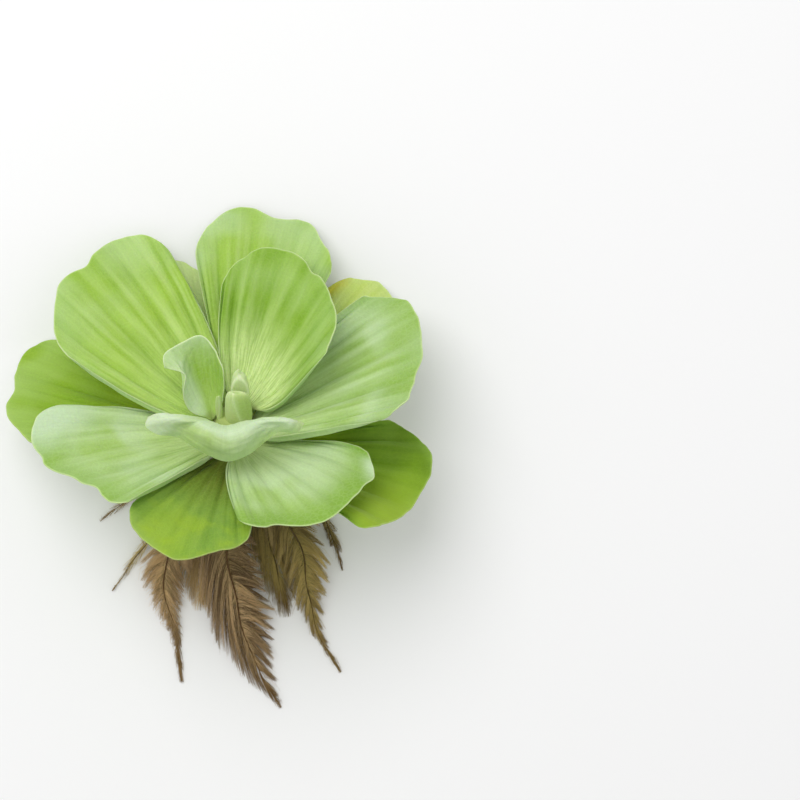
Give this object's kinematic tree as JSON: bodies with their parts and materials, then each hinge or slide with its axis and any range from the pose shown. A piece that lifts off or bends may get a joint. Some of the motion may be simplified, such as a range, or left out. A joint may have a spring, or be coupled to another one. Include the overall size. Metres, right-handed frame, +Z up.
{
  "type": "water lettuce plant",
  "caption": "Floating water plant lifted out and laid down: a rosette of fan-shaped pleated leaves round a short stem, with feathery root plumes.",
  "frame": {"origin": "centre of the plant's footprint box, on the surface it rests on", "axes": "+Z up from the surface, +Y from the roots' tips towards the rosette's back leaves, +X to the right as seen from above with the roots at the bottom"},
  "size_m": [0.122, 0.147, 0.062],
  "materials": {
    "leaf_green": "matt, velvety light green with pale veins and a pale margin",
    "leaf_pale": "matt, velvety pale green, the younger leaves",
    "leaf_deep": "matt deeper yellow-green, the oldest leaves",
    "bud": "matt pale yellow-green, rolled young leaves",
    "stem": "rough dark green-brown",
    "root": "fine olive-brown rootlets round pale brown root axes"
  },
  "bodies": {
    "root": {"stem": "stem", "leaf_back_left_low": "leaf_green", "leaf_back_right_low": "leaf_green", "leaf_left_low": "leaf_deep", "leaf_front_low": "leaf_green", "leaf_right_low": "leaf_deep", "leaf_back": "leaf_green", "leaf_left_front": "leaf_green", "leaf_front_right": "leaf_pale", "leaf_back_left": "leaf_green", "leaf_right": "leaf_green", "leaf_back_inner": "leaf_pale", "young_leaf_folded": "leaf_pale", "young_leaf_curled": "leaf_pale", "bud_back": "bud", "bud_front": "bud", "bud_left": "bud", "root_plume_middle": "root", "root_plume_left": "root", "root_plume_right": "root", "root_plume_under_left": "root", "root_plume_under_right": "root", "root_side_left": "root", "root_side_far_left": "root", "root_side_right": "root"}
  },
  "joints": []
}
